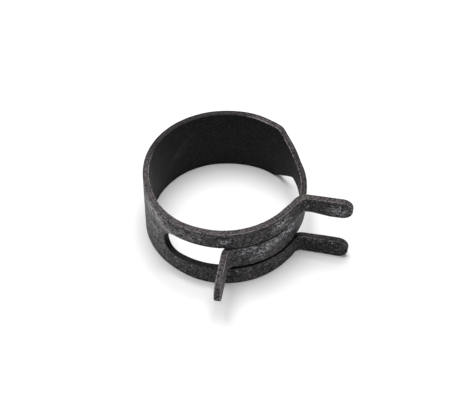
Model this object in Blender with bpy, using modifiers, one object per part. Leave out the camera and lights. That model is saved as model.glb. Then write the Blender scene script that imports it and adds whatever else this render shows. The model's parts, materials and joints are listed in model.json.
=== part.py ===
"""Spring band hose clamp: one strip of spring steel rolled into a ring.

The ring's centre, at half its width, is the origin and its axis is +Z. -Y points between the two
ends. Angles are degrees round +Z from +X. From the back of the ring (90 degrees) the strip runs
both ways: to a fork of two rails and two ears, and to a tapered tongue with one ear, which lies
between the rails. The strip bends all along its length, so it is modelled as stretches joined by
flexure hinges, each on an empty at the strip's mid-thickness.
"""

import math

import bmesh
import bpy
from mathutils import Matrix, Vector

MM = 0.001

# Strip and ring
THICKNESS = 1.05 * MM
RING_RADIUS = 12.975 * MM  # to the middle of the strip's thickness
BAND_HALF_WIDTH = 6.0 * MM

# Flexure hinges: the root is the stretch of band between the first hinge of each side
HINGE_GAP = 0.3 * MM
HINGE_STEP = 27.0
HINGES_PER_SIDE = 7
FORK_HINGES = [105.0 + HINGE_STEP * i for i in range(HINGES_PER_SIDE)]
TONGUE_HINGES = [75.0 - HINGE_STEP * i for i in range(HINGES_PER_SIDE)]
ROOT_LINE = 3  # the fork's root starts at this hinge, and its rails at the next
TAPER_LINE = 2  # the taper starts at this hinge, and the tongue at the next

# Slot between the fork's rails
SLOT_START = 195.0
SLOT_LOW = -2.45 * MM
SLOT_HIGH = 2.8 * MM
SLOT_CORNER = 2.3 * MM

# Taper and tongue: each edge's taper starts at its own angle and has its own length
UPPER_TAPER = {"start": 18.0, "length": 5.2 * MM}
LOWER_TAPER = {"start": 19.6, "length": 4.85 * MM}
TAPER_FILLET = 1.2 * MM
TONGUE_LOW = -1.95 * MM
TONGUE_HIGH = 2.55 * MM

# Ears: where the outward bend starts, the heading of the straight part and its length
BEND_RADIUS = 1.8 * MM  # to the middle of the strip's thickness
UPPER_EAR = {"bend": 303.0, "heading": 322.0, "length": 7.3 * MM}
LOWER_EAR = {"bend": 298.8, "heading": 320.0, "length": 7.5 * MM}
TONGUE_EAR = {"bend": 247.8, "heading": 232.5, "length": 7.0 * MM}
EAR_ROOT_ARC = 3.0  # degrees of ring that an ear keeps ahead of its bend
FORK_EAR_INNER_EDGE = 2.3 * MM
FORK_EAR_CORNER = 1.8 * MM
TONGUE_EAR_CORNER = 2.2 * MM
TONGUE_WAY_RADIUS = 14.0 * MM  # inside this the ears are only as wide as the rails

# Fineness
ARC_STEP = 3.0
BEND_STEPS = 8
CORNER_STEPS = 6
SHARP_ANGLE = 40.0
CUTTER_MARGIN = 1.0 * MM

STEEL_COLOUR = (0.055, 0.056, 0.058, 1.0)
STEEL_ROUGHNESS = 0.5
STEEL_METALLIC = 0.85


def clear_scene():
    """Remove every object that the file opened with."""
    for item in list(bpy.data.objects):
        bpy.data.objects.remove(item, do_unlink=True)


def new_collection(name):
    """Return a collection of that name, linked to the scene."""
    collection = bpy.data.collections.new(name)
    bpy.context.scene.collection.children.link(collection)
    return collection


def steel(name):
    """Return a black-finished spring steel material."""
    material = bpy.data.materials.new(name)
    material.use_nodes = True
    shader = material.node_tree.nodes["Principled BSDF"]
    shader.inputs["Base Color"].default_value = STEEL_COLOUR
    shader.inputs["Roughness"].default_value = STEEL_ROUGHNESS
    shader.inputs["Metallic"].default_value = STEEL_METALLIC
    return material


def heading(degrees):
    """Return the unit vector in the XY plane at that angle."""
    angle = math.radians(degrees)
    return Vector((math.cos(angle), math.sin(angle), 0.0))


def ring_path(start, end):
    """Return points along the ring from one angle to another."""
    steps = max(2, round(abs(end - start) / ARC_STEP))
    return [heading(start + (end - start) * i / steps) * RING_RADIUS for i in range(steps + 1)]


def bend_path(ear, side):
    """Return points round an ear's outward bend; side is +1 on the fork and -1 on the tongue."""
    centre = heading(ear["bend"]) * (RING_RADIUS + BEND_RADIUS)
    travel = ear["bend"] + 90.0 * side
    turn = (ear["heading"] - travel + 180.0) % 360.0 - 180.0
    first = ear["bend"] + 180.0
    return [
        centre + heading(first + turn * i / BEND_STEPS) * BEND_RADIUS
        for i in range(BEND_STEPS + 1)
    ]


def ear_path(ear, side):
    """Return points from an ear's root, round its bend and out to its tip."""
    bend = bend_path(ear, side)
    tip = bend[-1] + heading(ear["heading"]) * ear["length"]
    return ring_path(ear["bend"] - EAR_ROOT_ARC * side, ear["bend"])[:-1] + bend + [tip]


def to_mesh(curve_object, collection):
    """Replace a curve object with a welded mesh object of the same name and place."""
    depsgraph = bpy.context.evaluated_depsgraph_get()
    mesh = bpy.data.meshes.new_from_object(curve_object.evaluated_get(depsgraph))
    cage = bmesh.new()
    cage.from_mesh(mesh)
    bmesh.ops.remove_doubles(cage, verts=cage.verts, dist=0.001 * MM)
    cage.to_mesh(mesh)
    cage.free()
    name = curve_object.name
    matrix = curve_object.matrix_world.copy()
    bpy.data.objects.remove(curve_object, do_unlink=True)
    piece = bpy.data.objects.new(name, mesh)
    collection.objects.link(piece)
    piece.matrix_world = matrix
    return piece


def flat_curve(name, points, extrude, closed):
    """Return a 2D curve object through points in its own XY plane, extruded both ways along Z."""
    curve = bpy.data.curves.new(name, "CURVE")
    curve.dimensions = "2D"
    curve.fill_mode = "BOTH" if closed else "NONE"
    curve.extrude = extrude
    spline = curve.splines.new("POLY")
    spline.points.add(len(points) - 1)
    for spot, point in zip(spline.points, points):
        spot.co = (point[0], point[1], 0.0, 1.0)
    spline.use_cyclic_u = closed
    outline = bpy.data.objects.new(name, curve)
    bpy.context.scene.collection.objects.link(outline)
    return outline


def strip(name, path, low, high, pivot):
    """Return a stretch of strip: a ribbon along the path, from low to high, made solid.

    Its origin is at the pivot empty, which is its parent.
    """
    ribbon = flat_curve(name, path, (high - low) / 2, closed=False)
    ribbon.location.z = (high + low) / 2
    bpy.context.view_layer.update()
    piece = to_mesh(ribbon, PARTS)
    offset = piece.matrix_world.translation - pivot.matrix_world.translation
    piece.data.transform(Matrix.Translation(offset))
    piece.matrix_world = Matrix.Identity(4)
    piece.parent = pivot
    piece.data.shade_smooth()
    piece.data.set_sharp_from_angle(angle=math.radians(SHARP_ANGLE))
    piece.data.materials.append(steel(name + "_steel"))
    solid = piece.modifiers.new("thickness", "SOLIDIFY")
    solid.thickness = THICKNESS
    solid.offset = 0.0
    solid.use_even_offset = True
    return piece


def as_cutter(cutter):
    """Mark an object as a cutter, which is never part of the clamp."""
    cutter.hide_render = True
    cutter.display_type = "WIRE"
    return cutter


def outline_cutter(name, points, depth, matrix):
    """Return a cutter with a flat outline in the XY plane of the matrix, depth to each side."""
    outline = flat_curve(name, points, depth, closed=True)
    outline.matrix_world = matrix
    bpy.context.view_layer.update()
    return as_cutter(to_mesh(outline, CUTTERS))


def cut(piece, cutter):
    """Take the cutter's shape out of the piece."""
    boolean = piece.modifiers.new(cutter.name, "BOOLEAN")
    boolean.operation = "DIFFERENCE"
    boolean.solver = "EXACT"
    boolean.object = cutter


def facing_x(x):
    """Return the matrix of a plane square to X: its X axis is world Y and its Y axis is world Z."""
    turned = Matrix(((0.0, 0.0, 1.0), (1.0, 0.0, 0.0), (0.0, 1.0, 0.0))).to_4x4()
    return Matrix.Translation((x, 0.0, 0.0)) @ turned


def corner_arc(centre, radius, start, end):
    """Return 2D points of an arc about a centre."""
    angles = [start + (end - start) * i / CORNER_STEPS for i in range(CORNER_STEPS + 1)]
    return [
        (
            centre[0] + radius * math.cos(math.radians(angle)),
            centre[1] + radius * math.sin(math.radians(angle)),
        )
        for angle in angles
    ]


def outer_y(degrees):
    """Return the Y of a point just outside the ring at that angle."""
    return (RING_RADIUS + THICKNESS) * math.sin(math.radians(degrees))


def taper_cutter(name, taper, band_edge, tongue_edge):
    """Return the cutter for one side of the taper and the tongue past it."""
    side = math.copysign(1.0, band_edge)
    drop = abs(band_edge - tongue_edge)
    slope = math.atan2(drop, taper["length"])
    start = RING_RADIUS * math.sin(math.radians(taper["start"]))
    foot = start - taper["length"]
    fillet_end = foot - TAPER_FILLET * math.tan(slope / 2)
    near = start + CUTTER_MARGIN
    far = outer_y(TONGUE_HINGES[TAPER_LINE + 2]) - CUTTER_MARGIN
    outline = [(far, 0.0)]
    outline += corner_arc((fillet_end, TAPER_FILLET), TAPER_FILLET, 270.0, 270.0 + math.degrees(slope))
    outline += [(near, drop + CUTTER_MARGIN * math.tan(slope)), (near, 2 * drop), (far, 2 * drop)]
    points = [(y, tongue_edge + side * height) for y, height in outline]
    return outline_cutter(name, points, 4 * THICKNESS, facing_x(RING_RADIUS - THICKNESS))


def slot_cutter():
    """Return the cutter for the slot's round-cornered end."""
    start = RING_RADIUS * math.sin(math.radians(SLOT_START))
    far = outer_y(FORK_HINGES[ROOT_LINE + 1]) - CUTTER_MARGIN
    high = (start - SLOT_CORNER, SLOT_HIGH - SLOT_CORNER)
    low = (start - SLOT_CORNER, SLOT_LOW + SLOT_CORNER)
    outline = corner_arc(low, SLOT_CORNER, -90.0, 0.0) + corner_arc(high, SLOT_CORNER, 0.0, 90.0)
    outline += [(far, SLOT_HIGH), (far, SLOT_LOW)]
    return outline_cutter("slot_cutter", outline, 4 * THICKNESS, facing_x(THICKNESS - RING_RADIUS))


def tip_cutter(name, ear, side, low, high, corner):
    """Return the cutter that rounds the two corners of an ear's tip."""
    along = heading(ear["heading"])
    tip = ear_path(ear, side)[-1]
    up = Vector((0.0, 0.0, 1.0))
    frame = Matrix((along, up, along.cross(up))).transposed().to_4x4()
    outline = [(-corner, low - CUTTER_MARGIN), (CUTTER_MARGIN, low - CUTTER_MARGIN)]
    outline += [(CUTTER_MARGIN, high + CUTTER_MARGIN), (-corner, high + CUTTER_MARGIN)]
    outline += corner_arc((-corner, high - corner), corner, 90.0, 0.0)
    outline += corner_arc((-corner, low + corner), corner, 0.0, -90.0)
    return outline_cutter(name, outline, 2 * THICKNESS, Matrix.Translation(tip) @ frame)


def tongue_way_cutter():
    """Return the round cutter that keeps the fork's ears clear of the tongue between them."""
    bpy.ops.mesh.primitive_cylinder_add(
        vertices=120,
        radius=TONGUE_WAY_RADIUS,
        depth=SLOT_HIGH - SLOT_LOW,
        location=(0.0, 0.0, (SLOT_HIGH + SLOT_LOW) / 2),
    )
    cutter = bpy.context.object
    cutter.name = "tongue_way_cutter"
    for collection in list(cutter.users_collection):
        collection.objects.unlink(cutter)
    CUTTERS.objects.link(cutter)
    return as_cutter(cutter)


def new_empty(name):
    """Return an empty in the clamp's collection."""
    empty = bpy.data.objects.new(name, None)
    empty.empty_display_size = THICKNESS
    PARTS.objects.link(empty)
    return empty


def hinge_chain(name, angles):
    """Return the empties on one side's flexure lines, each the parent of the next."""
    empties = []
    reached = Vector((0.0, 0.0, 0.0))
    for index, angle in enumerate(angles):
        place = heading(angle) * RING_RADIUS
        empty = new_empty(f"{name}_{index + 1}")
        empty.parent = empties[-1] if empties else None
        empty.location = place - reached
        reached = place
        empties.append(empty)
    bpy.context.view_layer.update()
    return empties


def between(start, end):
    """Return the ring path between two cut lines, short of each by half the gap."""
    trim = math.degrees(HINGE_GAP / 2 / RING_RADIUS)
    trim = math.copysign(trim, end - start)
    return ring_path(start + trim, end - trim)


def back_band():
    """Make the root: the stretch of band opposite the ears."""
    path = between(TONGUE_HINGES[0], FORK_HINGES[0])
    strip("back_band", path, -BAND_HALF_WIDTH, BAND_HALF_WIDTH, new_empty("band_centre"))


def full_width(name, hinges, index, pivots):
    """Make the full-width stretch that starts at one of a side's hinges."""
    path = between(hinges[index], hinges[index + 1])
    return strip(name, path, -BAND_HALF_WIDTH, BAND_HALF_WIDTH, pivots[index])


def fork_side():
    """Make the left band, the fork's root with the slot's end, its rails and its two ears."""
    pivots = hinge_chain("fork_hinge", FORK_HINGES)
    for index in range(ROOT_LINE):
        full_width(f"left_band_{index + 1}", FORK_HINGES, index, pivots)
    root = full_width("fork_root", FORK_HINGES, ROOT_LINE, pivots)
    cut(root, slot_cutter())
    way = tongue_way_cutter()
    fork_leg("upper", UPPER_EAR, (SLOT_HIGH, BAND_HALF_WIDTH), FORK_EAR_INNER_EDGE, pivots, way)
    fork_leg("lower", LOWER_EAR, (SLOT_LOW, -BAND_HALF_WIDTH), -FORK_EAR_INNER_EDGE, pivots, way)


def fork_leg(name, ear, edges, ear_inner_edge, pivots, way):
    """Make one rail of the fork and its ear; edges are the rail's inner and outer edge."""
    lines = FORK_HINGES[ROOT_LINE + 1:] + [ear["bend"] - EAR_ROOT_ARC]
    for index, (start, end) in enumerate(zip(lines, lines[1:])):
        pivot = pivots[ROOT_LINE + 1 + index]
        rail = f"{name}_rail_{index + 1}"
        strip(rail, between(start, end), min(edges), max(edges), pivot)
    low, high = sorted((ear_inner_edge, edges[1]))
    piece = strip(f"{name}_ear", ear_path(ear, +1), low, high, pivots[-1])
    cut(piece, way)
    cut(piece, tip_cutter(f"{name}_tip_cutter", ear, +1, low, high, FORK_EAR_CORNER))


def tongue_side():
    """Make the right band, the taper, the tongue and its ear."""
    pivots = hinge_chain("tongue_hinge", TONGUE_HINGES)
    for index in range(TAPER_LINE):
        full_width(f"right_band_{index + 1}", TONGUE_HINGES, index, pivots)
    above = taper_cutter("above_taper_cutter", UPPER_TAPER, BAND_HALF_WIDTH, TONGUE_HIGH)
    below = taper_cutter("below_taper_cutter", LOWER_TAPER, -BAND_HALF_WIDTH, TONGUE_LOW)
    for index, name in ((TAPER_LINE, "taper"), (TAPER_LINE + 1, "tongue_1")):
        piece = full_width(name, TONGUE_HINGES, index, pivots)
        cut(piece, above)
        cut(piece, below)
    lines = TONGUE_HINGES[TAPER_LINE + 2:] + [TONGUE_EAR["bend"] + EAR_ROOT_ARC - 360.0]
    for index, (start, end) in enumerate(zip(lines, lines[1:])):
        pivot = pivots[TAPER_LINE + 2 + index]
        strip(f"tongue_{index + 2}", between(start, end), TONGUE_LOW, TONGUE_HIGH, pivot)
    ear = strip("tongue_ear", ear_path(TONGUE_EAR, -1), TONGUE_LOW, TONGUE_HIGH, pivots[-1])
    corner = TONGUE_EAR_CORNER
    cut(ear, tip_cutter("tongue_tip_cutter", TONGUE_EAR, -1, TONGUE_LOW, TONGUE_HIGH, corner))


clear_scene()
PARTS = new_collection("hose_clamp")
CUTTERS = new_collection("cutters")
back_band()
fork_side()
tongue_side()
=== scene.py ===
"""Looks of a spring band hose clamp: black-finished strip, blanked flat, then rolled into its ring.

One flat blank holds the whole strip, from the fork's two ears to the tongue's ear. It is cut into
stretches, and a Geometry Nodes tree rolls each stretch round the ring and out along its ear. Each
stretch spans one flexure line of the frame.
"""

import json
import math

import bmesh
import bpy
import numpy as np
from mathutils import Matrix, Vector

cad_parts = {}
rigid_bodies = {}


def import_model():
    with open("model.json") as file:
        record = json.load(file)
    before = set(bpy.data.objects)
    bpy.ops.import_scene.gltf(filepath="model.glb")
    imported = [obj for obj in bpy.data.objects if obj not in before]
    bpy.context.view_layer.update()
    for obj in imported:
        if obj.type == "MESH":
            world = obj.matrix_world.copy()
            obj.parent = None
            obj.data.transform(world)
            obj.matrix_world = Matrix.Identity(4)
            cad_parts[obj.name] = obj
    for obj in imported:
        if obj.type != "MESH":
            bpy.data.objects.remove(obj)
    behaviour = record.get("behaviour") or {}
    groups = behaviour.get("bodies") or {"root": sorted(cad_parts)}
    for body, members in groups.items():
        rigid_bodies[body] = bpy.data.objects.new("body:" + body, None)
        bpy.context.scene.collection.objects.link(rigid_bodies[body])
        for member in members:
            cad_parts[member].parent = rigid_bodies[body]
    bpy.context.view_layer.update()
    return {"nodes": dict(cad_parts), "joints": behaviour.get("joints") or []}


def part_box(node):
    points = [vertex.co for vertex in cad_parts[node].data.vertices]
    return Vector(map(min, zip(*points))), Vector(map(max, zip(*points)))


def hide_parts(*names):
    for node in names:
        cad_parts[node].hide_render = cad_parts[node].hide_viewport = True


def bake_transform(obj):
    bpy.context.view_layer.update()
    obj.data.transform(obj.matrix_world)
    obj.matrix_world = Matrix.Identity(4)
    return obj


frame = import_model()

bl_info = {
    "name": "Spring Band Hose Clamp",
    "version": (1, 0, 0),
    "blender": (4, 5, 0),
    "location": "View3D > Sidebar > Hose Clamp",
    "description": "Builds a rolled spring steel hose clamp and its studio",
    "category": "Add Mesh",
}

MM = 0.001
ROOT_BODY = "back_band"
HINGES = {joint["name"]: joint for joint in frame["joints"]}

# ---------------------------------------------------------------------------------------------
# Sizes read from the frame
# ---------------------------------------------------------------------------------------------


def hinge_angle(name):
    """Return a flexure line's angle round the ring, in degrees from +X, from -180 to 180."""
    place = HINGES[name]["pos_m"]
    return math.degrees(math.atan2(place[1], place[0]))


RING_RADIUS = math.hypot(*HINGES["fork_flex_1"]["pos_m"][:2])
BAND_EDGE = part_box("back_band")[1].z
THICKNESS = 2 * (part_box("back_band")[1].y - RING_RADIUS)
HINGE_STEP = hinge_angle("fork_flex_2") - hinge_angle("fork_flex_1")
SLOT_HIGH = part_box("upper_rail_2")[0].z
SLOT_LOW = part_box("lower_rail_2")[1].z
TONGUE_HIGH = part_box("tongue_2")[1].z
TONGUE_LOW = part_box("tongue_2")[0].z
EAR_INNER_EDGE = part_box("upper_ear")[0].z
FLOOR_HEIGHT = min(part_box(node)[0].z for node in frame["nodes"])

# The strip's own places. Angles run round the ring in degrees from +X, and its back is at 90.
BACK_ANGLE = 90.0
SLOT_START = 195.0
SLOT_CORNER = 2.4 * MM
TAPER_START = 18.0
LOWER_TAPER_START = 20.3
TAPER_LENGTH = 5.2 * MM
LOWER_TAPER_LENGTH = 5.0 * MM
TAPER_FILLET = 1.2 * MM
BEND_RADIUS = 1.8 * MM

# Each ear: the angle where its bend starts, the heading of its straight part, that part's length,
# and the side of the ring that its strip comes round (1 for the fork's, -1 for the tongue's)
EARS = {
    "upper": {"bend": 303.0, "heading": 322.0, "length": 7.3 * MM, "side": 1},
    "lower": {"bend": 298.8, "heading": 320.0, "length": 7.5 * MM, "side": 1},
    "tongue": {"bend": -112.2, "heading": 232.5, "length": 7.0 * MM, "side": -1},
}
EAR_CORNER = 1.8 * MM
TONGUE_CORNER = 2.2 * MM

# A fork's ear widens over this stretch of it, past its bend, so that the tongue clears its foot
EAR_SLOPE_FROM = 0.8 * MM
EAR_SLOPE_TO = 3.6 * MM
EAR_SLOPE_ROUND = 1.5 * MM

# Blunt shoulder where the band's edge turns into the taper: its length, its drop and its rounding
UPPER_SHOULDER = (0.35 * MM, 0.15 * MM, 0.1 * MM)
LOWER_SHOULDER = (0.25 * MM, 0.42 * MM, 0.06 * MM)

# Rounding of the sheared edges. The outer face's edges are crisper than the inner face's.
OUTER_ROUND = 0.11 * MM
INNER_ROUND = 0.17 * MM
ROUND_SEGMENTS = 3

# Fineness of the mesh: spacing along the strip and across it, degrees for each step of an arc, and
# the angle past which two faces meet sharply
COLUMN = 0.19 * MM
ROW = 0.42 * MM
ARC_STEP = 7.5
SHARP_ANGLE = 40.0

# How near a point has to be to a plane to lie on it, in metres
LEVEL_TOLERANCE = 1e-7
CUT_TOLERANCE = 1e-8

# How the strip waves round its true shape: the waves in each metre of it, their fineness, and the
# share of a wave that moves the strip up and down
WAVE_SCALE = 0.35 / MM
WAVE_DETAIL = 1.0
WAVE_RISE = 0.6

BLANK_NAME = "flat_blank"
ROLL_TREE_NAME = "roll_the_strip"


def along(degrees):
    """Return the distance along the strip, from its back, to an angle; the tongue's is below 0."""
    return RING_RADIUS * math.radians(degrees - BACK_ANGLE)


def mm_along(degrees):
    """Return the distance along the strip, from its back, to an angle, in millimetres."""
    return along(degrees) / MM


def bend_turn(ear):
    """Return how far an ear's bend turns the strip, in radians."""
    travel = ear["bend"] + 90.0 * ear["side"]
    turn = (ear["heading"] - travel + 180.0) % 360.0 - 180.0
    return math.radians(abs(turn))


def ear_reach(ear):
    """Return the distance along the strip, from its back, to an ear's straight part."""
    return abs(along(ear["bend"])) + BEND_RADIUS * bend_turn(ear)


def tip_reach(ear):
    """Return the distance along the strip, from its back, to an ear's tip."""
    return ear_reach(ear) + ear["length"]


# ---------------------------------------------------------------------------------------------
# Node trees, shared by the shaders and the rolling of the strip
# ---------------------------------------------------------------------------------------------


class Value:
    """A socket in a node tree. Arithmetic on it adds the Math nodes."""

    def __init__(self, builder, socket):
        self.builder = builder
        self.socket = socket

    def __add__(self, other):
        return self.builder.math("ADD", self, other)

    __radd__ = __add__

    def __sub__(self, other):
        return self.builder.math("SUBTRACT", self, other)

    def __rsub__(self, other):
        return self.builder.math("SUBTRACT", other, self)

    def __mul__(self, other):
        return self.builder.math("MULTIPLY", self, other)

    __rmul__ = __mul__

    def __truediv__(self, other):
        return self.builder.math("DIVIDE", self, other)

    def __rtruediv__(self, other):
        return self.builder.math("DIVIDE", other, self)

    def smaller(self, other):
        """Return the smaller of two values."""
        return self.builder.math("MINIMUM", self, other)

    def larger(self, other):
        """Return the larger of two values."""
        return self.builder.math("MAXIMUM", self, other)

    def cos(self):
        """Return the cosine."""
        return self.builder.math("COSINE", self)

    def sin(self):
        """Return the sine."""
        return self.builder.math("SINE", self)

    def size(self):
        """Return the value without its sign."""
        return self.builder.math("ABSOLUTE", self)

    def ramp(self, low, high):
        """Return 0 below low and 1 above high, with a smooth step between."""
        settings = {"interpolation_type": "SMOOTHSTEP"}
        sockets = {"Value": self, "From Min": low, "From Max": high}
        return self.builder.value("ShaderNodeMapRange", settings, sockets)

    def fall(self, low, high):
        """Return 1 below low and 0 above high, with a smooth step between."""
        return 1.0 - self.ramp(low, high)

    def bump(self, middle, half_width):
        """Return 1 at the middle, falling smoothly to 0 at half_width to each side."""
        return (self - middle).size().fall(0.0, half_width)


class Builder:
    """Adds nodes to one node tree."""

    def __init__(self, tree):
        self.tree = tree

    def node(self, kind, settings, sockets):
        """Return a new node with its settings made first and its sockets then filled or linked."""
        node = self.tree.nodes.new(kind)
        for name, value in settings.items():
            setattr(node, name, value)
        for name, value in sockets.items():
            if isinstance(value, Value):
                self.tree.links.new(value.socket, node.inputs[name])
            else:
                node.inputs[name].default_value = value
        return node

    def value(self, kind, settings, sockets, output=0):
        """Return one output of a new node as a value."""
        return Value(self, self.node(kind, settings, sockets).outputs[output])

    def math(self, operation, *terms):
        """Return the result of a Math node on its terms, in their order."""
        return self.value("ShaderNodeMath", {"operation": operation}, dict(enumerate(terms)))

    def parts(self, vector):
        """Return a vector's three numbers as values."""
        node = self.node("ShaderNodeSeparateXYZ", {}, {"Vector": vector})
        return [Value(self, node.outputs[index]) for index in range(3)]

    def vector(self, x, y, z):
        """Return a vector of three numbers or values."""
        return self.value("ShaderNodeCombineXYZ", {}, {"X": x, "Y": y, "Z": z})

    def heading(self, angle):
        """Return the unit vector in the ring's plane at an angle."""
        return self.vector(angle.cos(), angle.sin(), 0.0)

    def scaled(self, vector, factor):
        """Return a vector times a number."""
        sockets = {"Vector": vector, "Scale": factor}
        return self.value("ShaderNodeVectorMath", {"operation": "SCALE"}, sockets)

    def sum(self, first, *others):
        """Return the sum of vectors."""
        for other in others:
            sockets = {0: first, 1: other}
            first = self.value("ShaderNodeVectorMath", {"operation": "ADD"}, sockets)
        return first

    def noise(self, place, scale, detail, roughness=0.5):
        """Return a noise pattern's strength, from 0 to 1."""
        sockets = {"Vector": place, "Scale": scale, "Detail": detail, "Roughness": roughness}
        return self.value("ShaderNodeTexNoise", {}, sockets)

    def mix(self, factor, first, second):
        """Return one colour mixed into another."""
        settings = {"data_type": "RGBA"}
        sockets = {0: factor, 6: first, 7: second}
        return self.value("ShaderNodeMix", settings, sockets, output=2)


# ---------------------------------------------------------------------------------------------
# The flat blank
# ---------------------------------------------------------------------------------------------


def arc(centre, radius, start, end):
    """Return points round an arc, both ends included."""
    steps = max(2, math.ceil(abs(end - start) / ARC_STEP))
    angles = [math.radians(start + (end - start) * i / steps) for i in range(steps + 1)]
    return [(centre[0] + radius * math.cos(a), centre[1] + radius * math.sin(a)) for a in angles]


def round_corner(before, corner, after, radius):
    """Return the arc that rounds the corner between two straight edges."""
    corner = Vector(corner)
    first = (Vector(before) - corner).normalized()
    second = (Vector(after) - corner).normalized()
    half = first.angle(second) / 2
    middle = corner + (first + second).normalized() * (radius / math.sin(half))
    start = corner + first * (radius / math.tan(half)) - middle
    end = corner + second * (radius / math.tan(half)) - middle
    turn = math.degrees(start.angle_signed(end))
    begin = math.degrees(math.atan2(start.y, start.x))
    return arc(middle, radius, begin, begin - turn)


def rounded(corners):
    """Return an outline through corners (x, y, radius), each rounded by its own radius."""
    points = []
    for index, (x, y, radius) in enumerate(corners):
        before = corners[index - 1][:2]
        after = corners[(index + 1) % len(corners)][:2]
        points += round_corner(before, (x, y), after, radius) if radius else [(x, y)]
    return points


def shoulder(taper, edge, size):
    """Return the blunt corner where the band's edge meets a taper, from the taper's side."""
    length, drop, radius = size
    return [(taper - length, edge - math.copysign(drop, edge), radius), (taper, edge, radius)]


def ear_slope(ear, rail_edge, ear_edge):
    """Return the corners where a rail's inner edge slopes over to its wider ear."""
    start = (ear + EAR_SLOPE_FROM, rail_edge, EAR_SLOPE_ROUND)
    return [start, (ear + EAR_SLOPE_TO, ear_edge, EAR_SLOPE_ROUND)]


def strip_outline():
    """Return the whole strip's flat outline: x along the strip and y across it."""
    tongue_tip = -tip_reach(EARS["tongue"])
    upper_tip = tip_reach(EARS["upper"])
    lower_tip = tip_reach(EARS["lower"])
    high_taper = along(TAPER_START)
    low_taper = along(LOWER_TAPER_START)
    slot = along(SLOT_START)
    corners = [(tongue_tip, TONGUE_LOW, TONGUE_CORNER)]
    corners += [(low_taper - LOWER_TAPER_LENGTH, TONGUE_LOW, TAPER_FILLET)]
    corners += shoulder(low_taper, -BAND_EDGE, LOWER_SHOULDER)
    corners += [(lower_tip, -BAND_EDGE, EAR_CORNER), (lower_tip, -EAR_INNER_EDGE, EAR_CORNER)]
    corners += reversed(ear_slope(ear_reach(EARS["lower"]), SLOT_LOW, -EAR_INNER_EDGE))
    corners += [(slot, SLOT_LOW, SLOT_CORNER), (slot, SLOT_HIGH, SLOT_CORNER)]
    corners += ear_slope(ear_reach(EARS["upper"]), SLOT_HIGH, EAR_INNER_EDGE)
    corners += [(upper_tip, EAR_INNER_EDGE, EAR_CORNER), (upper_tip, BAND_EDGE, EAR_CORNER)]
    corners += reversed(shoulder(high_taper, BAND_EDGE, UPPER_SHOULDER))
    corners += [(high_taper - TAPER_LENGTH, TONGUE_HIGH, TAPER_FILLET)]
    corners += [(tongue_tip, TONGUE_HIGH, TONGUE_CORNER)]
    return rounded(corners)


def lies_level(edge, level):
    """Say whether both ends of an edge lie at a height."""
    return all(abs(vert.co.z - level) < LEVEL_TOLERANCE for vert in edge.verts)


def blank_body(outline):
    """Return a bmesh of the outline as a closed plate with its sheared edges rounded."""
    body = bmesh.new()
    top = body.faces.new([body.verts.new((x, y, THICKNESS / 2)) for x, y in outline])
    made = bmesh.ops.extrude_face_region(body, geom=[top])
    moved = [item for item in made["geom"] if isinstance(item, bmesh.types.BMVert)]
    bmesh.ops.translate(body, verts=moved, vec=(0.0, 0.0, -THICKNESS))
    bmesh.ops.recalc_face_normals(body, faces=body.faces)
    for level, width in ((THICKNESS / 2, OUTER_ROUND), (-THICKNESS / 2, INNER_ROUND)):
        edges = [edge for edge in body.edges if lies_level(edge, level)]
        bmesh.ops.bevel(
            body, geom=edges, offset=width, segments=ROUND_SEGMENTS, profile=0.5, affect="EDGES"
        )
    return body


def rim_distance(places, outline):
    """Return each point's distance from the outline, both in the flat blank's plane."""
    start = np.array(outline)
    edge = np.roll(start, -1, axis=0) - start
    length_squared = (edge**2).sum(axis=1)
    offset = places[:, None, :] - start[None]
    share = np.clip((offset * edge[None]).sum(axis=2) / length_squared, 0.0, 1.0)
    gap = offset - share[..., None] * edge[None]
    return np.sqrt((gap**2).sum(axis=2)).min(axis=1)


def bisect(body, place, normal, clear=False):
    """Cut a bmesh across a plane; with clear, also remove what lies past it."""
    geometry = [*body.verts, *body.edges, *body.faces]
    bmesh.ops.bisect_plane(
        body,
        geom=geometry,
        dist=CUT_TOLERANCE,
        plane_co=place,
        plane_no=normal,
        clear_outer=clear,
    )


def close_ends(body):
    """Close the flat ends that a cut has left open."""
    edges = [edge for edge in body.edges if edge.is_boundary]
    bmesh.ops.holes_fill(body, edges=edges, sides=0)


def cut_finely(body, start, end):
    """Cut a stretch into columns along the strip and rows across it, so that it can bend."""
    columns = max(1, round((end - start) / COLUMN))
    for index in range(1, columns):
        bisect(body, (start + (end - start) * index / columns, 0.0, 0.0), (1.0, 0.0, 0.0))
    rows = round(BAND_EDGE / ROW)
    for index in range(1 - rows, rows):
        bisect(body, (0.0, BAND_EDGE * index / rows, 0.0), (0.0, 1.0, 0.0))


def cut_stretch(start, end, leg):
    """Return a mesh of the blank between two distances along it.

    Leg is 1 for the fork's upper leg alone, -1 for its lower leg alone and 0 for the whole width.
    """
    body = bmesh.new()
    body.from_mesh(bpy.data.meshes[BLANK_NAME])
    bisect(body, (start, 0.0, 0.0), (-1.0, 0.0, 0.0), clear=True)
    bisect(body, (end, 0.0, 0.0), (1.0, 0.0, 0.0), clear=True)
    close_ends(body)
    if leg:
        other = [vert for vert in body.verts if vert.co.y * leg < 0.0]
        bmesh.ops.delete(body, geom=other, context="VERTS")
    cut_finely(body, start, end)
    mesh = bpy.data.meshes.new("stretch")
    body.to_mesh(mesh)
    body.free()
    return mesh


def mark_rim(mesh, outline):
    """Store each point's distance from the blank's outline, in millimetres."""
    count = len(mesh.vertices)
    places = np.empty(count * 3, np.float32)
    mesh.vertices.foreach_get("co", places)
    places = places.reshape(-1, 3)[:, :2].astype(float)
    distance = rim_distance(places, outline) / MM
    rim = mesh.attributes.new("rim", "FLOAT", "POINT")
    rim.data.foreach_set("value", distance.astype(np.float32))


# ---------------------------------------------------------------------------------------------
# Rolling the strip
# ---------------------------------------------------------------------------------------------

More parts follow.
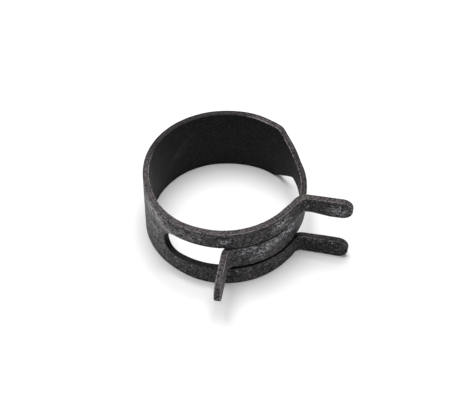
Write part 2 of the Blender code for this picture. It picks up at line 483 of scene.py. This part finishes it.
# A stray is a stretch where the rolled strip lies off its true ring. It starts and ends at
# distances along the strip from its back, and is whole in between. Push is how far out the strip
# lies at mid-width, and lean is the change in that for each metre of height.
STRAYS = ("Back Stray", "Side Stray", "Leg Stray", "Shoulder Stray")
STRAY_PARTS = ("Start", "Whole From", "Whole To", "End", "Push", "Lean")

ROLL_INPUTS = (
    ("Side", "NodeSocketFloat", 1.0),
    ("Ring Radius", "NodeSocketFloat", RING_RADIUS),
    ("Back Angle", "NodeSocketFloat", math.radians(BACK_ANGLE)),
    ("Bend Start", "NodeSocketFloat", 1.0),
    ("Bend Radius", "NodeSocketFloat", BEND_RADIUS),
    ("Bend Turn", "NodeSocketFloat", 1.0),
    *((f"{stray} {part}", "NodeSocketFloat", 0.0) for stray in STRAYS for part in STRAY_PARTS),
    ("Waviness", "NodeSocketFloat", 0.0),
    ("Material", "NodeSocketMaterial", None),
)


def rolled_place(builder, given, flat):
    """Return where a point of the flat blank comes to lie in the rolled strip."""
    run, across, offset = builder.parts(flat)
    distance = run * given["Side"]
    on_ring = distance.smaller(given["Bend Start"])
    bend_length = given["Bend Radius"] * given["Bend Turn"]
    past_bend_start = distance - given["Bend Start"]
    on_bend = past_bend_start.larger(0.0).smaller(bend_length)
    on_ear = (past_bend_start - bend_length).larger(0.0)
    angle = given["Back Angle"] + given["Side"] * on_ring / given["Ring Radius"]
    facing = angle + math.pi - given["Side"] * on_bend / given["Bend Radius"]
    travel = facing - math.pi + given["Side"] * (math.pi / 2)
    wave_place = builder.scaled(flat, WAVE_SCALE)
    wave = (builder.noise(wave_place, 1.0, WAVE_DETAIL) - 0.5) * given["Waviness"]
    reach = given["Ring Radius"] + given["Bend Radius"]
    for stray in STRAYS:
        start, whole_from, whole_to, end, push, lean = (given[f"{stray} {p}"] for p in STRAY_PARTS)
        share = distance.ramp(start, whole_from) * distance.fall(whole_to, end)
        reach = reach + (push + lean * across) * share
    centre = builder.scaled(builder.heading(angle), reach)
    arm = builder.scaled(builder.heading(facing), given["Bend Radius"] - offset - wave)
    ear = builder.scaled(builder.heading(travel), on_ear)
    height = builder.vector(0.0, 0.0, across + wave * WAVE_RISE)
    return builder.sum(centre, arm, builder.sum(ear, height))


def roll_tree():
    """Return the tree that rolls a stretch of flat blank round the ring and out along its ear."""
    tree = bpy.data.node_groups.new(ROLL_TREE_NAME, "GeometryNodeTree")
    tree.is_modifier = True
    tree.interface.new_socket("Geometry", in_out="INPUT", socket_type="NodeSocketGeometry")
    for name, kind, default in ROLL_INPUTS:
        socket = tree.interface.new_socket(name, in_out="INPUT", socket_type=kind)
        if default is not None:
            socket.default_value = default
    tree.interface.new_socket("Geometry", in_out="OUTPUT", socket_type="NodeSocketGeometry")
    builder = Builder(tree)
    group = builder.node("NodeGroupInput", {}, {})
    given = {socket.name: Value(builder, socket) for socket in group.outputs if socket.name}
    flat = builder.value("GeometryNodeInputPosition", {}, {})
    stored = builder.value(
        "GeometryNodeStoreNamedAttribute",
        {"data_type": "FLOAT_VECTOR", "domain": "POINT"},
        {"Geometry": given["Geometry"], "Name": "place", "Value": builder.scaled(flat, 1.0 / MM)},
    )
    place = rolled_place(builder, given, flat)
    rolled = builder.value("GeometryNodeSetPosition", {}, {"Geometry": stored, "Position": place})
    real = builder.value("GeometryNodeRealizeInstances", {}, {"Geometry": rolled})
    done = builder.value(
        "GeometryNodeSetMaterial", {}, {"Geometry": real, "Material": given["Material"]}
    )
    builder.node("NodeGroupOutput", {}, {"Geometry": done})
    return tree


def set_inputs(modifier, values):
    """Set a Geometry Nodes modifier's inputs by the identifiers of their sockets."""
    for item in modifier.node_group.interface.items_tree:
        if item.item_type == "SOCKET" and item.in_out == "INPUT" and item.name in values:
            modifier[item.identifier] = values[item.name]


def roll(name, flat_mesh, values):
    """Return an object with the rolled stretch as its plain mesh."""
    piece = bpy.data.objects.new(name, flat_mesh)
    bpy.context.scene.collection.objects.link(piece)
    modifier = piece.modifiers.new("roll", "NODES")
    modifier.node_group = bpy.data.node_groups.get(ROLL_TREE_NAME) or roll_tree()
    set_inputs(modifier, values)
    depsgraph = bpy.context.evaluated_depsgraph_get()
    mesh = bpy.data.meshes.new_from_object(piece.evaluated_get(depsgraph))
    piece.modifiers.remove(modifier)
    piece.data = mesh
    mesh.name = name
    mesh.shade_smooth()
    mesh.set_sharp_from_angle(angle=math.radians(SHARP_ANGLE))
    return piece


# The strays of each leg: the four angles round the ring where a stray starts, is whole from, is
# whole to and ends, then its push in millimetres, and its lean
FORK_BACK_STRAY = (80.0, 85.0, 112.0, 168.0, 0.02, 0.027)
FORK_SIDE_STRAY = (165.0, 190.0, 200.0, 225.0, 0.075, 0.021)
STRAYS_OF = {
    "upper": (FORK_BACK_STRAY, FORK_SIDE_STRAY, (205.0, 284.0, 291.0, 310.0, 0.27, -0.11)),
    "lower": (FORK_BACK_STRAY, FORK_SIDE_STRAY, (200.0, 235.0, 250.0, 290.0, -0.10, -0.0535)),
    "tongue": (
        (100.0, 95.0, 50.0, 26.0, 0.02, 0.027),
        (40.0, 12.0, 2.0, -15.0, 0.10, 0.0),
        (-5.0, -38.0, -62.0, -85.0, -0.22, 0.0),
        (62.0, 34.0, 21.0, 10.0, 0.22, 0.0),
    ),
}


def roll_values(ear):
    """Return the rolling tree's inputs for the strip on the way to an ear."""
    side = EARS[ear]["side"]
    sizes = bpy.context.scene.clamp_sizes
    values = {
        "Side": float(side),
        "Ring Radius": RING_RADIUS,
        "Back Angle": math.radians(BACK_ANGLE),
        "Bend Start": abs(along(EARS[ear]["bend"])),
        "Bend Radius": sizes.bend_radius,
        "Bend Turn": bend_turn(EARS[ear]),
        "Waviness": sizes.waviness,
        "Material": steel_material(),
    }
    for stray, places in zip(STRAYS, STRAYS_OF[ear]):
        *angles, push, lean = places
        numbers = [side * along(angle) for angle in angles] + [push * MM, lean]
        values.update({f"{stray} {part}": n for part, n in zip(STRAY_PARTS, numbers)})
    return values


def stretch(name, hinge, ear, leg=0, to_tip=False, stands_for=()):
    """Make the stretch of strip across one hinge, from mid-stretch to mid-stretch.

    The stretch is on the way to the named ear, and to_tip takes it out to that ear's tip.
    """
    joint = HINGES[hinge]
    side = EARS[ear]["side"]
    middle = BACK_ANGLE + side * ((hinge_angle(hinge) - BACK_ANGLE) * side % 360.0)
    near = BACK_ANGLE if joint["parent"] == ROOT_BODY else middle - side * HINGE_STEP / 2
    far = middle + side * HINGE_STEP / 2
    end = side * (tip_reach(EARS[ear]) + THICKNESS) if to_tip else along(far)
    flat = cut_stretch(min(along(near), end), max(along(near), end), leg)
    mark_rim(flat, strip_outline())
    piece = roll(name, flat, roll_values(ear))
    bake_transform(piece)
    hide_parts(*stands_for)
    return piece


# ---------------------------------------------------------------------------------------------
# Finish
# ---------------------------------------------------------------------------------------------

# The finish is laid out in millimetres on the flat blank: the run along the strip from its back,
# across it from its middle, and the offset through it from the middle of its thickness.
FORK_BEND = mm_along(EARS["lower"]["bend"])
TONGUE_BEND = mm_along(EARS["tongue"]["bend"])

# Steps along the strip where the ears' faces and their walls start
FORK_EAR_STARTS = (FORK_BEND - 2.0, FORK_BEND + 1.0)
FORK_EAR_WALL_STARTS = (FORK_BEND + 0.5, FORK_BEND + 2.0)
TONGUE_EAR_STARTS = (TONGUE_BEND - 2.0, TONGUE_BEND)
TONGUE_EAR_WALL_STARTS = (TONGUE_BEND - 2.5, TONGUE_BEND - 1.0)

# Noise patterns, from coarse to fine: scale, detail and roughness
BLOTCH = (0.45, 3.0, 0.6)
MOTTLE = (1.5, 3.0, 0.65)
STREAK = (1.6, 2.0, 0.6)
SPECK = (2.6, 3.0, 0.75)
GRAIN = (4.2, 2.0, 0.7)

# The streaks' own two axes, as shares of the run and of the height: they slope across the strip
STREAK_FIRST_AXIS = (0.9, 1.5)
STREAK_SECOND_AXIS = (-0.2, 0.35)

# Scuffs on the outer face: angle round the ring, height and half sizes in millimetres, strength.
# Angles above 90 are on the fork's side and those below it are on the tongue's side.
SCUFFS = (
    (178.0, 4.2, 3.0, 2.2, 2.0),
    (187.0, 4.4, 2.4, 1.5, 2.0),
    (193.0, 3.4, 2.2, 1.3, 1.3),
    (199.0, 3.2, 1.6, 0.9, 1.5),
    (184.0, 0.0, 2.4, 2.4, 0.6),
    (219.0, 4.4, 3.2, 1.3, 0.7),
    (241.5, 4.4, 1.2, 0.7, 1.6),
    (284.0, 4.6, 3.4, 1.5, 1.0),
    (-97.0, 1.6, 4.6, 1.9, 0.85),
    (-93.0, 0.2, 2.2, 1.4, 0.9),
    (-80.0, 1.5, 3.4, 1.5, 1.1),
    (-66.0, 1.6, 2.6, 1.8, 1.2),
    (336.0, 3.9, 3.0, 1.6, 0.9),
)

# Steps between the faces and the sheared walls: where each starts and where it is whole, through
# the strip from mid-thickness, and for the wall in from the outline
OUTER_FACE = (0.2, 0.5)
SHEARED_WALL = (0.02, 0.1)
OUTER_CORNER = (0.38, 0.47)
INNER_CORNER = (0.3, 0.4)

# Steps along the strip and across it
OFF_THE_BACK = (8.0, 14.0)
BAND_RIM = (3.0, 5.0)
TONGUE_SIDE = (0.0, 3.0)
TONGUE_RIM = (1.5, 2.4)
UPPER_HALF = (-6.0, 3.0)
LOWER_RAIL = (-3.5, -2.0)

# Steps round the ring, in degrees: where the left's dust and painted sheen set in, where they fade,
# and where the lower rail starts
LEFT_STARTS = (120.0, 165.0)
LEFT_ENDS = (200.0, 225.0)
RAIL_STARTS = (205.0, 225.0)

# Dust on the outer face: how much plain band has, and what each other place adds or takes away
BAND_DUST = 0.55
# On the left, dust and painted sheen: the band is painted lighter there, more on its upper half.
LEFT_DUST_AND_SHEEN = 0.2
LEFT_UPPER_DUST_AND_SHEEN = 0.5
LOWER_RAIL_DUST = -0.14
FORK_EAR_DUST = -0.2
TONGUE_EAR_DUST = 0.35

# The strengths of the patterns between which the outer face's dust shows, each pattern's share in
# it, and how much of it all is held back
DUSTY_MOTTLE = (0.36, 0.66)
DUSTY_GRAIN = (0.38, 0.64)
DUSTY_BLOTCH = (0.38, 0.66)
MOTTLE_SHARE = 0.8
GRAIN_SHARE = 0.75
BLOTCH_SHARE = 0.3
DUST_HELD_BACK = 0.28

# Dust on the inner face, everywhere and in one smudge that slopes across the back, and painted
# sheen on the left, with more of it in its blotches
INNER_DUST = 0.10
INNER_PATTERN = (0.46, 0.68)
INNER_LEFT_SHEEN = 0.2
INNER_LEFT_SHEEN_BLOTCHES = 0.15
INNER_LEFT_BLOTCH = (0.45, 0.6)
INNER_LEFT_ANGLE = 160.0
INNER_LEFT_HALF_LENGTH = 12.0
SMUDGE_DUST = 0.2
SMUDGE_PATTERN = (0.42, 0.6)
SMUDGE_SLOPE = 0.83
SMUDGE_HEIGHT = 2.0
SMUDGE_HALF_HEIGHT = 1.7
SMUDGE_PLACE = 2.7
SMUDGE_HALF_LENGTH = 4.6

# Brown in the dust, at most, and the blotches that hold it
RUSTY_BLOTCH = (0.45, 0.62)
RUSTY_SHARE = 0.6

# Rubbing inside the scuffs, and pale specks: how strong they are outside, and inside
RUBBED_PATTERN = (0.47, 0.60)
PALE_SPECK = (0.58, 0.66)
SPECKS_OUTSIDE = 0.55
SPECKS_INSIDE = 0.06

# How open the walls of the tongue and of the fork's ears are, beside the band's rims; less open
# walls take more painted shade
TONGUE_WALL = 0.5
FORK_EAR_WALL = 0.55

# Stain on the open walls: everywhere, and what the mottles add; the rest of each wall is painted
# shade
PLAIN_STAIN = 0.3
MOTTLED_STAIN = 0.7
STAINED_MOTTLE = (0.40, 0.60)

# Bare steel: the line along a face's edge (how far in, half width, strength outside), the grain
# that it is scraped to, and how much of it shows where a wall isn't open
FACE_LINE = (0.07, 0.11)
FACE_LINE_OUTSIDE = 0.5
SCRAPED_PATTERN = (0.42, 0.56)
SHUT_WALL_WEAR = 0.15

# A sheared wall's torn line: how far it lies from mid-thickness, how far it wanders, its half
# width and its strength
TORN_LINE = 0.05
TORN_LINE_WANDER = 0.8
TORN_LINE_HALF_WIDTH = 0.12
TORN_LINE_STRENGTH = 0.25

# How rough the finish is, and what each pattern adds to that and to its relief
PLAIN_ROUGHNESS = 0.55
MOTTLE_ROUGHNESS = 0.15
RUBBED_ROUGHNESS = -0.1
GRAIN_RELIEF = 0.7
MOTTLE_RELIEF = 1.2
SPECK_RELIEF = 0.4
RELIEF_STRENGTH = 0.6
RELIEF_DEPTH = 0.02 * MM

FINISH_NAME = "black_spring_steel"


class Spot:
    """What the finish knows of each point: its place on the blank, its masks and its patterns."""

    def __init__(self, builder):
        settings = {"attribute_name": "place"}
        place = builder.value("ShaderNodeAttribute", settings, {}, output="Vector")
        settings = {"attribute_name": "rim"}
        self.rim = builder.value("ShaderNodeAttribute", settings, {}, output="Fac")
        self.run, self.across, self.offset = builder.parts(place)

        self.outside = self.offset.ramp(*OUTER_FACE)
        self.inside = 1.0 - self.outside
        self.wall = self.rim.fall(*SHEARED_WALL)
        self.away_from_back = self.run.size().ramp(*OFF_THE_BACK)

        self.blotch = builder.noise(place, *BLOTCH)
        self.mottle = builder.noise(place, *MOTTLE)
        self.grain = builder.noise(place, *GRAIN)
        self.speck = builder.noise(builder.scaled(place, -1.0), *SPECK)
        first, second = (
            self.run * run_share + self.across * height_share
            for run_share, height_share in (STREAK_FIRST_AXIS, STREAK_SECOND_AXIS)
        )
        self.streak = builder.noise(builder.vector(first, second, self.offset), *STREAK)


def scuff_mask(spot):
    """Return how scuffed the outer face is, from 0 up."""
    total = 0.0
    for angle, height, half_length, half_height, strength in SCUFFS:
        mark = spot.run.bump(mm_along(angle), half_length) * spot.across.bump(height, half_height)
        total = mark * strength + total
    return total * spot.outside


def dust_and_sheen_level(run, across):
    """Return how dusty the outer face is, least on the ears, with painted sheen added on the left.
    """
    left = run.ramp(*map(mm_along, LEFT_STARTS)) * run.fall(*map(mm_along, LEFT_ENDS))
    lower_rail = run.ramp(*map(mm_along, RAIL_STARTS)) * across.fall(*LOWER_RAIL)
    fork_ear = run.ramp(*FORK_EAR_STARTS)
    tongue_ear = run.fall(*TONGUE_EAR_STARTS)
    # Painted sheen on the left, on top of its dust: lighter, more on the upper half.
    level = BAND_DUST + left * LEFT_UPPER_DUST_AND_SHEEN * across.ramp(*UPPER_HALF) + left * LEFT_DUST_AND_SHEEN
    level = level + lower_rail * LOWER_RAIL_DUST + fork_ear * FORK_EAR_DUST
    return level + tongue_ear * TONGUE_EAR_DUST


def outer_dust_and_sheen(spot):
    """Return how much dust the outer face holds, with painted sheen on the left, in mottles, grains
    and blotches.
    """
    mottles = spot.mottle.ramp(*DUSTY_MOTTLE) * MOTTLE_SHARE
    grains = spot.grain.ramp(*DUSTY_GRAIN) * GRAIN_SHARE
    blotches = spot.blotch.ramp(*DUSTY_BLOTCH) * BLOTCH_SHARE
    pattern = mottles + grains - DUST_HELD_BACK + blotches
    return (dust_and_sheen_level(spot.run, spot.across) * pattern).larger(0.0)


def inner_dust_and_sheen(spot):
    """Return the inner face's dust, a little and a smudge, and its painted sheen on the left."""
    plain = (spot.mottle * 0.5 + spot.grain * 0.5).ramp(*INNER_PATTERN) * INNER_DUST
    # Painted sheen: the inner face is painted lighter on the left, more in its blotches.
    left = spot.run.bump(mm_along(INNER_LEFT_ANGLE), INNER_LEFT_HALF_LENGTH)
    blotches = spot.blotch.ramp(*INNER_LEFT_BLOTCH) * INNER_LEFT_SHEEN_BLOTCHES
    line = (spot.across + spot.run * SMUDGE_SLOPE - SMUDGE_HEIGHT).size()
    smudge = line.fall(0.0, SMUDGE_HALF_HEIGHT) * spot.run.bump(SMUDGE_PLACE, SMUDGE_HALF_LENGTH)
    streaks = (spot.streak * 0.6 + spot.mottle * 0.4).ramp(*SMUDGE_PATTERN)
    return plain + left * (INNER_LEFT_SHEEN + blotches) + smudge * streaks * SMUDGE_DUST


def face_tone(builder, spot, looks, rubbed):
    """Return the faces' colour: black inside, greyer and mottled outside, pale where rubbed."""
    # The dust holds painted sheen on the left, on the outer face and the inner face.
    dust = outer_dust_and_sheen(spot) * spot.outside + inner_dust_and_sheen(spot) * spot.inside
    rusty = spot.blotch.ramp(*RUSTY_BLOTCH) * RUSTY_SHARE
    dust_tone = builder.mix(rusty, tuple(looks.light), tuple(looks.rust))
    tone = builder.mix(dust.smaller(1.0), tuple(looks.dark), dust_tone)
    specks = spot.speck.ramp(*PALE_SPECK) * (spot.outside * SPECKS_OUTSIDE + SPECKS_INSIDE)
    return builder.mix((rubbed + specks).smaller(1.0), tone, tuple(looks.scuff))


def open_walls(spot):
    """Return how far a sheared wall faces the open: 1 on the band's rims, less in the gaps, where
    shade is painted.
    """
    band_rim = spot.across.size().ramp(*BAND_RIM)
    tongue_rim = spot.run.fall(*TONGUE_SIDE) * spot.across.ramp(*TONGUE_RIM) * TONGUE_WALL
    fork_ear = spot.run.ramp(*FORK_EAR_WALL_STARTS) * FORK_EAR_WALL
    tongue_ear = spot.run.fall(*TONGUE_EAR_WALL_STARTS)
    return (band_rim + tongue_ear + tongue_rim + fork_ear).smaller(1.0)


def bare_share(spot, open_wall):
    """Return how bare the steel is: along the strip's corners and the walls' torn line."""
    outer_corner = spot.offset.ramp(*OUTER_CORNER)
    inner_corner = (spot.offset * -1.0).ramp(*INNER_CORNER) * spot.away_from_back
    torn_place = TORN_LINE + (spot.blotch - 0.5) * TORN_LINE_WANDER
    torn_line = spot.offset.bump(torn_place, TORN_LINE_HALF_WIDTH) * TORN_LINE_STRENGTH
    face_share = spot.outside * FACE_LINE_OUTSIDE + spot.away_from_back * spot.inside
    face_line = spot.rim.bump(*FACE_LINE) * face_share
    corner = (outer_corner + inner_corner + torn_line) * spot.wall + face_line
    scraped = (spot.grain * 0.5 + spot.speck * 0.5).ramp(*SCRAPED_PATTERN)
    return (corner * scraped * (open_wall + SHUT_WALL_WEAR)).smaller(1.0)


def steel_material():
    """Return the black finish on spring steel, with its wear, painted shade in the gaps and painted
    sheen on the left.
    """
    found = bpy.data.materials.get(FINISH_NAME)
    if found:
        return found
    material = bpy.data.materials.new(FINISH_NAME)
    material.use_nodes = True
    builder = Builder(material.node_tree)
    looks = bpy.context.scene.clamp_looks
    spot = Spot(builder)

    rubbing = (spot.speck * 0.7 + spot.streak * 0.3).ramp(*RUBBED_PATTERN)
    rubbed = (scuff_mask(spot) * rubbing).smaller(1.0)
    tone = face_tone(builder, spot, looks, rubbed)
    open_wall = open_walls(spot)
    # Painted shade: walls in the gaps take the near-black gap colour, lightened only where open and
    # stained.
    stain_over_painted_shade = open_wall * (PLAIN_STAIN + spot.mottle.ramp(*STAINED_MOTTLE) * MOTTLED_STAIN)
    wall_tone = builder.mix(stain_over_painted_shade, tuple(looks.gap), tuple(looks.wall))
    tone = builder.mix(spot.wall, tone, wall_tone)
    bare = bare_share(spot, open_wall) * looks.edge_wear
    colour = builder.mix(bare, tone, tuple(looks.edge))

    rough = PLAIN_ROUGHNESS + spot.mottle * MOTTLE_ROUGHNESS + rubbed * RUBBED_ROUGHNESS
    height = spot.grain * GRAIN_RELIEF + spot.mottle * MOTTLE_RELIEF + spot.speck * SPECK_RELIEF
    sockets = {"Strength": RELIEF_STRENGTH, "Distance": RELIEF_DEPTH, "Height": height}
    relief = builder.value("ShaderNodeBump", {}, sockets)

    shader = material.node_tree.nodes["Principled BSDF"]
    for name, value in (("Base Color", colour), ("Roughness", rough), ("Normal", relief)):
        material.node_tree.links.new(value.socket, shader.inputs[name])
    shader.inputs["Metallic"].default_value = looks.metallic
    shader.inputs["Specular IOR Level"].default_value = looks.gloss
    return material


def plain_material(name, colour, roughness):
    """Return a plain matte material."""
    material = bpy.data.materials.new(name)
    material.use_nodes = True
    shader = material.node_tree.nodes["Principled BSDF"]
    shader.inputs["Base Color"].default_value = colour
    shader.inputs["Roughness"].default_value = roughness
    return material


# ---------------------------------------------------------------------------------------------
# Stage
# ---------------------------------------------------------------------------------------------

FLOOR_SIZE = 3.0
FLOOR_ROUGHNESS = 0.7
SKY_STRENGTH = 0.33

# The lamp's place is in metres to the right of the ring's centre, away from the camera and up. Its
# size is in metres and its power in watts.
LAMP_PLACE = (-0.04, 0.13, 0.8)
LAMP_SIZE = 0.65
LAMP_POWER = 7.8

# The camera is turned round the ring's axis and raised above the floor, both in degrees. Its focus
# is given like the lamp's place, and its lens in millimetres.
CAMERA_AZIMUTH = -28.0
CAMERA_ELEVATION = 49.833
CAMERA_DISTANCE = 230.78 * MM
CAMERA_FOCUS = (0.017 * MM, -1.465 * MM, 0.0)
CAMERA_LENS = 111.5
CAMERA_NEAR = 0.01
CAMERA_FAR = 10.0


def turned_with_camera(place):
    """Turn a place that is given to the right, away and up into the frame's axes."""
    return Matrix.Rotation(math.radians(CAMERA_AZIMUTH), 3, "Z") @ Vector(place)


def make_floor():
    """Lay the floor under the lowest edge of the clamp."""
    bpy.ops.mesh.primitive_plane_add(size=FLOOR_SIZE, location=(0.0, 0.0, FLOOR_HEIGHT))
    floor = bpy.context.object
    floor.name = "floor"
    colour = tuple(bpy.context.scene.clamp_looks.floor)
    floor.data.materials.append(plain_material("pale_table", colour, FLOOR_ROUGHNESS))


def make_lights():
    """Light the clamp softly from all round and more strongly from above."""
    world = bpy.data.worlds.new("studio")
    world.use_nodes = True
    sky = world.node_tree.nodes["Background"]
    sky.inputs["Color"].default_value = (1.0, 1.0, 1.0, 1.0)
    sky.inputs["Strength"].default_value = SKY_STRENGTH
    bpy.context.scene.world = world
    bpy.context.scene.view_settings.view_transform = "Standard"
    light = bpy.data.lights.new("back_lamp", "AREA")
    light.shape = "DISK"
    light.size = LAMP_SIZE
    light.energy = LAMP_POWER
    lamp = bpy.data.objects.new("back_lamp", light)
    bpy.context.scene.collection.objects.link(lamp)
    lamp.location = turned_with_camera(LAMP_PLACE)
    lamp.rotation_mode = "QUATERNION"
    lamp.rotation_quaternion = (-lamp.location).to_track_quat("-Z", "Y")


def make_camera():
    """Set the camera above the table, looking a little in front of the ring's centre."""
    elevation = math.radians(CAMERA_ELEVATION)
    back = turned_with_camera((0.0, -math.cos(elevation), math.sin(elevation)))
    data = bpy.data.cameras.new("camera")
    data.lens = CAMERA_LENS
    data.clip_start = CAMERA_NEAR
    data.clip_end = CAMERA_FAR
    camera = bpy.data.objects.new("camera", data)
    bpy.context.scene.collection.objects.link(camera)
    camera.location = turned_with_camera(CAMERA_FOCUS) + back * CAMERA_DISTANCE
    camera.rotation_mode = "QUATERNION"
    camera.rotation_quaternion = (-back).to_track_quat("-Z", "Y")
    bpy.context.scene.camera = camera


# ---------------------------------------------------------------------------------------------
# Properties
# ---------------------------------------------------------------------------------------------


class ClampSizes(bpy.types.PropertyGroup):
    """Sizes of the strip that a user may change."""

    bend_radius: bpy.props.FloatProperty(
        name="Bend Radius",
        description="Radius of an ear's bend, to the middle of the strip's thickness",
        default=BEND_RADIUS,
        min=0.0,
        unit="LENGTH",
    )
    waviness: bpy.props.FloatProperty(
        name="Waviness",
        description="How far the rolled strip strays from its true shape",
        default=0.05 * MM,
        min=0.0,
        unit="LENGTH",
    )


def share_property(name, description, default):
    """Return a property that holds a share from 0 to 1."""
    return bpy.props.FloatProperty(
        name=name, description=description, default=default, min=0.0, max=1.0, subtype="FACTOR"
    )


def colour_property(name, description, default):
    """Return a property that holds an opaque colour."""
    return bpy.props.FloatVectorProperty(
        name=name,
        description=description,
        default=(*default, 1.0),
        size=4,
        min=0.0,
        max=1.0,
        subtype="COLOR",
    )


class ClampLooks(bpy.types.PropertyGroup):
    """Colours and wear of the black finish, its painted shade and sheen, and the colour of the
    floor.
    """

    dark: colour_property(
        "Dark Finish", "Colour of the finish where it is whole", (0.0068, 0.0067, 0.0069)
    )
    # The light finish also colours the painted sheen on the left of the band.
    light: colour_property(
        "Light Finish", "Colour of the finish where it is thin", (0.13, 0.124, 0.132)
    )
    scuff: colour_property(
        "Scuffs",
        "Colour of the pale marks where the outer face has been rubbed",
        (0.36, 0.355, 0.38),
    )
    wall: colour_property(
        "Sheared Walls", "Colour of the finish on the sheared walls", (0.03, 0.026, 0.0275)
    )
    rust: colour_property(
        "Brown Dust", "Colour of the dust where it is a little rusty", (0.13, 0.112, 0.1)
    )
    # Painted shade: near-black on the sheared walls of the slot and along the tongue, for the shade
    # in those narrow gaps.
    gap: colour_property(
        "Painted Shade In The Gaps",
        "Colour of the sheared walls of the slot and the tongue",
        (0.006, 0.0055, 0.0055),
    )
    edge: colour_property(
        "Worn Edge", "Colour of the steel that shows along the sheared edges", (0.28, 0.25, 0.25)
    )
    edge_wear: share_property("Edge Wear", "Share of the finish that is gone along the edges", 0.75)
    metallic: share_property("Metallic", "How metallic the finish looks", 0.25)
    gloss: share_property("Gloss", "How strongly the finish mirrors what is round it", 0.1)
    floor: colour_property("Floor", "Colour of the table", (0.9, 0.9, 0.9))


# ---------------------------------------------------------------------------------------------
# Operators
# ---------------------------------------------------------------------------------------------


# The band's stretches: name, the hinge it spans, the ear it leads to, and the nodes it replaces
BAND_STRETCHES = (
    ("left_band_a", "fork_flex_1", "upper", ("back_band", "left_band_1")),
    ("left_band_b", "fork_flex_2", "upper", ("left_band_1", "left_band_2")),
    ("left_band_c", "fork_flex_3", "upper", ("left_band_2", "left_band_3")),
    ("fork_root_a", "fork_flex_4", "upper", ("left_band_3", "fork_root")),
    ("right_band_a", "tongue_flex_1", "tongue", ("back_band", "right_band_1")),
    ("right_band_b", "tongue_flex_2", "tongue", ("right_band_1", "right_band_2")),
)

# The stretches between the band and the tongue's ear: name, hinge and nodes
TONGUE_STRETCHES = (
    ("taper_a", "tongue_flex_3", ("right_band_2", "taper")),
    ("taper_b", "tongue_flex_4", ("taper", "tongue_1")),
    ("tongue_a", "tongue_flex_5", ("tongue_1", "tongue_2")),
    ("tongue_b", "tongue_flex_6", ("tongue_2", "tongue_3")),
)


class CLAMP_OT_blank(bpy.types.Operator):
    """Blank the whole strip flat, with its slot, taper and ears"""

    bl_idname = "clamp.blank"
    bl_label = "Flat Blank"

    def execute(self, context):
        body = blank_body(strip_outline())
        if any(not edge.is_manifold for edge in body.edges):
            raise RuntimeError("the flat blank is not closed")
        body.to_mesh(bpy.data.meshes.new(BLANK_NAME))
        body.free()
        return {"FINISHED"}


class CLAMP_OT_band(bpy.types.Operator):
    """Roll the full-width band, from the fork's root round the back to the taper"""

    bl_idname = "clamp.band"
    bl_label = "Band"

    def execute(self, context):
        for name, hinge, ear, nodes in BAND_STRETCHES:
            stretch(name, hinge, ear, stands_for=nodes)
        return {"FINISHED"}


class CLAMP_OT_fork(bpy.types.Operator):
    """Roll the fork's two rails and bend out their ears"""

    bl_idname = "clamp.fork"
    bl_label = "Fork"

    def execute(self, context):
        for leg, ear in ((1, "upper"), (-1, "lower")):
            rails = [f"{ear}_rail_{number}" for number in (1, 2, 3)]
            stretch(f"{ear}_rail_a", "fork_flex_5", ear, leg, stands_for=("fork_root", rails[0]))
            stretch(f"{ear}_rail_b", "fork_flex_6", ear, leg, stands_for=rails[:2])
            ends = (rails[1], rails[2], f"{ear}_ear")
            stretch(f"{ear}_ear_leg", "fork_flex_7", ear, leg, to_tip=True, stands_for=ends)
        return {"FINISHED"}


class CLAMP_OT_tongue(bpy.types.Operator):
    """Roll the taper and the tongue and bend out its ear"""

    bl_idname = "clamp.tongue"
    bl_label = "Tongue"

    def execute(self, context):
        for name, hinge, nodes in TONGUE_STRETCHES:
            stretch(name, hinge, "tongue", stands_for=nodes)
        ends = ("tongue_3", "tongue_4", "tongue_ear")
        stretch("tongue_end", "tongue_flex_7", "tongue", to_tip=True, stands_for=ends)
        return {"FINISHED"}


class CLAMP_OT_stage(bpy.types.Operator):
    """Lay the pale floor and set the soft lights and the camera"""

    bl_idname = "clamp.stage"
    bl_label = "Stage"

    def execute(self, context):
        make_floor()
        make_lights()
        make_camera()
        return {"FINISHED"}


class CLAMP_PT_panel(bpy.types.Panel):
    """Lists the clamp's sizes and looks, and the buttons that build it"""

    bl_idname = "CLAMP_PT_panel"
    bl_label = "Hose Clamp"
    bl_space_type = "VIEW_3D"
    bl_region_type = "UI"
    bl_category = "Hose Clamp"

    def draw(self, context):
        for group in (context.scene.clamp_sizes, context.scene.clamp_looks):
            for name in group.__annotations__:
                self.layout.prop(group, name)
        for operator in OPERATORS:
            self.layout.operator(operator.bl_idname)


OPERATORS = (CLAMP_OT_blank, CLAMP_OT_band, CLAMP_OT_fork, CLAMP_OT_tongue, CLAMP_OT_stage)
CLASSES = (ClampSizes, ClampLooks, *OPERATORS, CLAMP_PT_panel)


def register():
    """Register the classes and hang the property groups on the scene."""
    for cls in CLASSES:
        bpy.utils.register_class(cls)
    bpy.types.Scene.clamp_sizes = bpy.props.PointerProperty(type=ClampSizes)
    bpy.types.Scene.clamp_looks = bpy.props.PointerProperty(type=ClampLooks)


def unregister():
    """Take the property groups off the scene and unregister the classes."""
    del bpy.types.Scene.clamp_looks
    del bpy.types.Scene.clamp_sizes
    for cls in reversed(CLASSES):
        bpy.utils.unregister_class(cls)


def main():
    """Build the clamp and its stage."""
    register()
    bpy.ops.clamp.blank()
    bpy.ops.clamp.band()
    bpy.ops.clamp.fork()
    bpy.ops.clamp.tongue()
    bpy.ops.clamp.stage()


if __name__ == "__main__":
    main()
